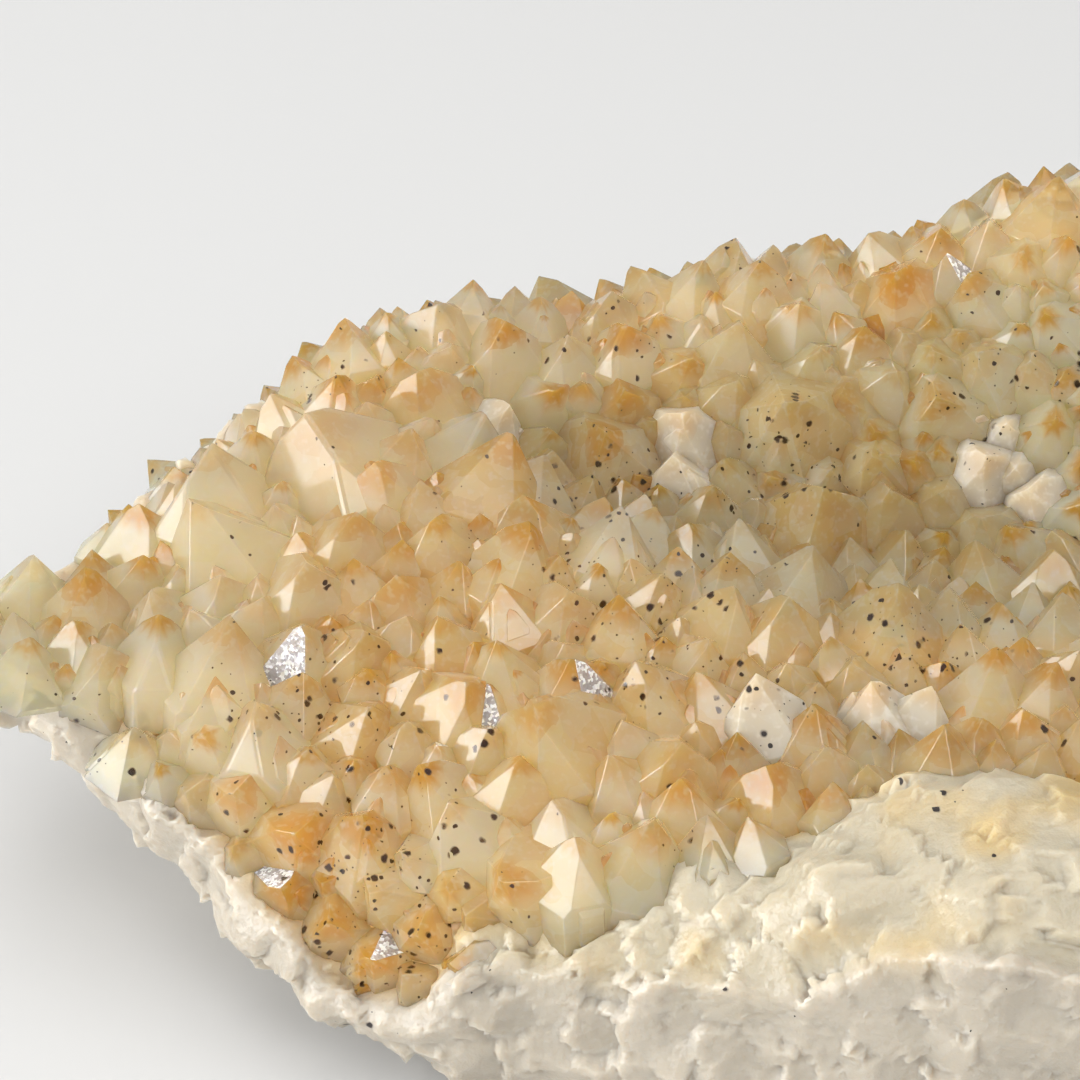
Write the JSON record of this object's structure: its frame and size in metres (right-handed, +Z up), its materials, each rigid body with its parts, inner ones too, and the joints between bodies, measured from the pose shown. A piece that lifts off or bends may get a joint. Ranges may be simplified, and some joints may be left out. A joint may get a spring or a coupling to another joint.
{
  "type": "citrine cluster",
  "caption": "Slab of milky quartz with a crust of pale yellow citrine points on its upper side, lying on its flat underside.",
  "frame": {"origin": "middle of the footprint, on the surface the cluster rests on", "axes": "+X from the thin end to the broad end, +Y from the near rim to the higher far rim, +Z up, out of the crystal side"},
  "size_m": [0.1561, 0.097, 0.0531],
  "materials": {
    "citrine": "translucent honey-yellow quartz points with amber tips and dark specks, on white granular milky quartz"
  },
  "bodies": {
    "root": {"citrine_cluster": "citrine"}
  },
  "joints": []
}
